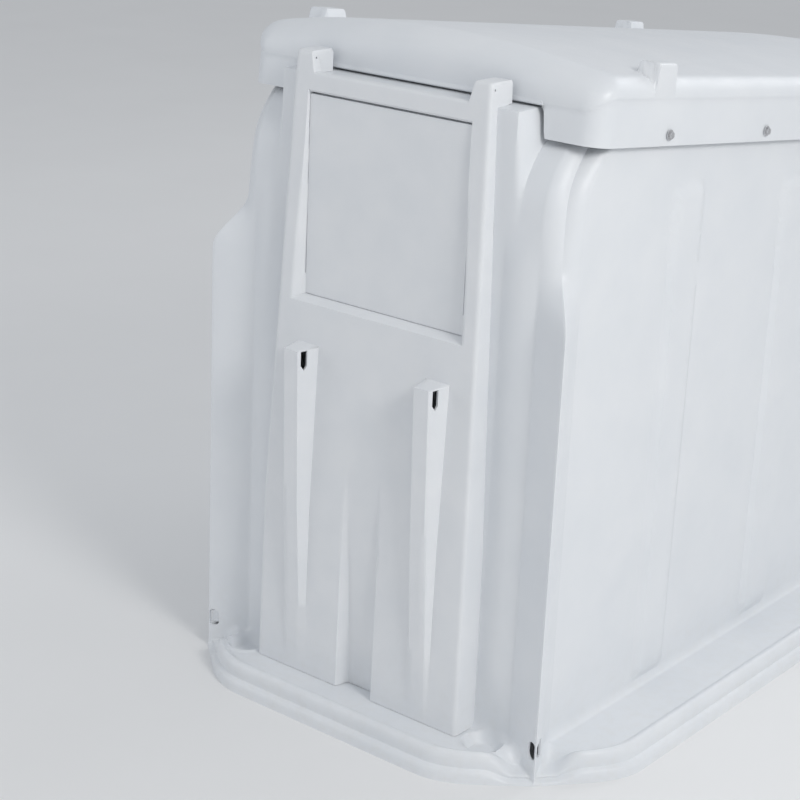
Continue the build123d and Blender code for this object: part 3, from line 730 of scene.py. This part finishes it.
def open_hole(piece):
    """Open the vent window in the panel and run its edge back to the wall."""
    bm = bmesh.new()
    bm.from_mesh(piece.data)
    inside = []
    for face in bm.faces:
        middle = face.calc_center_median() / MM
        if abs(middle.x) < HOLE_HALF and HOLE_LOW < middle.z < HOLE_HIGH and middle.y < rear(PANEL_BACK):
            inside.append(face)
    bmesh.ops.delete(bm, geom=inside, context="FACES")
    rim = []
    for edge in bm.edges:
        middle = (edge.verts[0].co + edge.verts[1].co) / 2 / MM
        if edge.is_boundary and abs(middle.x) < HOLE_HALF + 12 and HOLE_LOW - 12 < middle.z < HOLE_HIGH + 6:
            rim.append(edge)
    made = bmesh.ops.extrude_edge_only(bm, edges=rim)
    for vert in made["geom"]:
        if isinstance(vert, bmesh.types.BMVert):
            vert.co.y = rear(PANEL_BACK) * MM
    bmesh.ops.recalc_face_normals(bm, faces=bm.faces)
    bm.to_mesh(piece.data)
    bm.free()


# Roof cap: rings from the skirt, over a rounded rim, to the ridge
ROOF_HALF = ROOF_HIGH[0]
ROOF_LONG = FOLD_Y - ROOF_REAR              # half length along the slope
ROOF_PLAN_CORNER = 50
ROOF_CROWN = 45
SKIRT = ROOF_EDGE - ROOF_SKIRT
NOTCH = (322, 59)                           # half width, and its top under the roof edge
LUG = (50, 70, 34)
LUG_PLACE = 320


def roof_plan():
    """Outline of the roof in its own plane: place along and across, and the outward direction."""
    run = [mirrored(stations(0, (290, 18), (345, 4), (ROOF_HALF - ROOF_PLAN_CORNER, 8))),
           mirrored(stations(0, (560, 14), (700, 3), (ROOF_LONG - ROOF_PLAN_CORNER, 10)))]
    rows = []
    for turn in range(4):
        heading = -np.pi / 2 + turn * np.pi / 2
        nx, ny = math.cos(heading), math.sin(heading)
        out = ROOF_LONG if turn % 2 == 0 else ROOF_HALF
        for a in run[turn % 2]:
            rows.append((out * nx - a * ny, out * ny + a * nx, nx, ny))
        centre = ((ROOF_HALF - ROOF_PLAN_CORNER) * np.sign(nx - ny),
                  (ROOF_LONG - ROOF_PLAN_CORNER) * np.sign(ny + nx))
        for angle in heading + np.linspace(0, np.pi / 2, 12)[1:-1]:
            cx, cy = math.cos(angle), math.sin(angle)
            rows.append((centre[0] + ROOF_PLAN_CORNER * cx, centre[1] + ROOF_PLAN_CORNER * cy, cx, cy))
    return np.array(rows).T


def roof_piece(material):
    x0, t0, nx, nt = roof_plan()
    edge_round = 32 + 28 * nt ** 2
    spine = np.clip(t0, -(ROOF_LONG - ROOF_HALF), ROOF_LONG - ROOF_HALF)

    def at_inset(inset):
        """Top surface on the ring that lies this far inside the outline."""
        share = inset / ROOF_HALF
        x = x0 * (1 - share)
        t = spine + (t0 - spine) * (1 - share)
        depth = np.clip(edge_round - inset, 0, edge_round)
        h = ROOF_CROWN * (1 - (x / ROOF_HALF) ** 2) - (edge_round - np.sqrt(edge_round ** 2 - depth ** 2))
        lug_t = (FOLD_Y - LUG_PLACE) / math.cos(SLANT)
        window = ease(LUG[1] / 2 + 3, LUG[1] / 2 - 4, np.abs(np.abs(t) - lug_t))
        window = window * ease(ROOF_HALF - LUG[0] - 5, ROOF_HALF - LUG[0] + 4, np.abs(x))
        top = LUG[2] - 4 * np.clip(1 - inset / 8, 0, 1) ** 2
        return x, t, h + (top - h) * window

    rows = []
    bottom = -SKIRT + (SKIRT - NOTCH[1]) * np.where(t0 < 0, ease(NOTCH[0] + 8, NOTCH[0] - 8, np.abs(x0)), 0) \
        * (np.abs(nt) > 0.99)
    rim = -edge_round - 2
    x_rim, t_rim, h_rim = at_inset(0.0)
    for share in (0, 0.1, 0.35, 0.65, 0.9):
        rows.append((x0 - nx * 3, t0 - nt * 3, bottom + (rim - 8 - bottom) * share))
    for step, down in ((2.6, 6), (1.2, 3), (0.2, 0.5)):
        rows.append((x0 - nx * step, t0 - nt * step, rim - down))
    rows.append((x_rim, t_rim, h_rim))
    insets = np.concatenate((np.array((1.2, 3, 6, 10, 15, 21, 28)), stations(36, (60, 4), (200, 20),
                                                                            (ROOF_HALF, 26))))
    for inset in insets:
        rows.append(at_inset(inset))
    local = np.array([np.stack((x + 0 * x0, t + 0 * x0, h + 0 * x0), axis=-1) for x, t, h in rows])
    points = np.empty_like(local)
    points[..., 0] = local[..., 0]
    points[..., 1] = local[..., 1] * math.cos(SLANT) + local[..., 2] * math.sin(SLANT)
    points[..., 2] = ROOF_EDGE - drop(0) - local[..., 1] * math.sin(SLANT) + local[..., 2] * math.cos(SLANT)
    piece = sheet("roof_moulding", points, True)
    settle(piece)
    thicken(piece)
    finish_piece(piece, "roof_cap", material)


# Hardware: the frame's own nodes, with rounded edges and real materials
def dress(nodes, material, bevel):
    for name in nodes:
        node = frame["nodes"][name]
        node.data.materials.clear()
        node.data.materials.append(material)
        soften = node.modifiers.new("soften", "BEVEL")
        soften.width = bevel * MM
        soften.segments = 2
        soften.limit_method = "ANGLE"
        soften.angle_limit = math.radians(40)
        soften.harden_normals = True


shell = moulded_plastic("shell_plastic", (0.80, 0.82, 0.845), (0.765, 0.79, 0.82), 1.0)
panel = moulded_plastic("panel_plastic", (0.81, 0.825, 0.845), (0.775, 0.795, 0.82), 1.6)
galvanised = zinc("galvanised")
stainless = satin_metal("stainless", (0.60, 0.60, 0.61), (0.72, 0.72, 0.73), 0.30)
brass = satin_metal("brass", (0.66, 0.47, 0.20), (0.78, 0.60, 0.30), 0.28)
black_rubber = rubber("trim_rubber")

body_piece(shell)
panel_piece(panel)
roof_piece(shell)
dress(("vent_flap",), panel, 1.6)
dress(("gate_frame", "upper_hinge_bracket", "lower_hinge_bracket", "latch_keeper", "latch_bolt"),
      galvanised, 0.8)
dress(("roof_bolts", "roof_nuts", "roof_washers", "roof_spacers", "panel_bolts", "panel_washers",
       "flap_hinge_rod", "flap_rod_clips", "upper_hinge_pin", "lower_hinge_pin", "gate_bolts",
       "gate_washers", "gate_nuts"), stainless, 0.3)
dress(("panel_inserts",), brass, 0.3)
dress(("doorway_trim",), black_rubber, 1.2)


# Floor, light and camera
def floor():
    bm = bmesh.new()
    bmesh.ops.create_grid(bm, x_segments=2, y_segments=2, size=40)
    mesh = bpy.data.meshes.new("floor")
    bm.to_mesh(mesh)
    bm.free()
    plane = link("floor", mesh)
    m = Nodes("studio_floor")
    m.wire(m.blend(m.noise(2, 2), (0.84, 0.84, 0.84), (0.87, 0.87, 0.87)), m.shader.inputs["Base Color"])
    m.shader.inputs["Roughness"].default_value = 0.9
    mesh.materials.append(m.material)


def soft_light(name, place, target, size, power, colour):
    data = bpy.data.lights.new(name, "AREA")
    data.shape, data.size, data.energy, data.color = "DISK", size, power, colour
    lamp = bpy.data.objects.new(name, data)
    bpy.context.scene.collection.objects.link(lamp)
    lamp.location = place
    lamp.rotation_mode = "QUATERNION"
    lamp.rotation_quaternion = (Vector(target) - Vector(place)).to_track_quat("-Z", "Y")


def camera():
    """The view, given by its place, heading, tilt, roll and lens."""
    heading, tilt, roll = (math.radians(a) for a in (38.356, 19.304, 2.493))
    flat = math.cos(tilt)
    forward = Vector((-math.sin(heading) * flat, math.cos(heading) * flat, -math.sin(tilt)))
    level = Vector((math.cos(heading), math.sin(heading), 0))
    up = level.cross(forward)
    right = level * math.cos(roll) + up * math.sin(roll)
    above = up * math.cos(roll) - level * math.sin(roll)
    data = bpy.data.cameras.new("camera")
    data.lens, data.sensor_width = 88.5, 36
    data.clip_start, data.clip_end = 0.05, 200
    eye = bpy.data.objects.new("camera", data)
    bpy.context.scene.collection.objects.link(eye)
    turn = Matrix((right, above, -forward)).transposed()
    eye.matrix_world = Matrix.Translation((2.462, -3.963, 2.100)) @ turn.to_4x4()
    bpy.context.scene.camera = eye


def world():
    sky = bpy.data.worlds.new("studio")
    sky.use_nodes = True
    background = sky.node_tree.nodes["Background"]
    background.inputs["Color"].default_value = (0.93, 0.96, 1.0, 1)
    background.inputs["Strength"].default_value = 0.56
    bpy.context.scene.world = sky
    bpy.context.scene.view_settings.view_transform = "Standard"


floor()
world()
soft_light("key", (4.4, -2.2, 3.8), (0, -0.8, 0.7), 1.8, 105, (1.0, 0.985, 0.96))
soft_light("fill", (-4.5, -4.2, 2.6), (0, -0.6, 0.7), 3.2, 30, (0.93, 0.96, 1.0))
soft_light("back", (1.0, 5.0, 4.2), (0, 0.4, 0.8), 3.6, 60, (0.95, 0.97, 1.0))
camera()
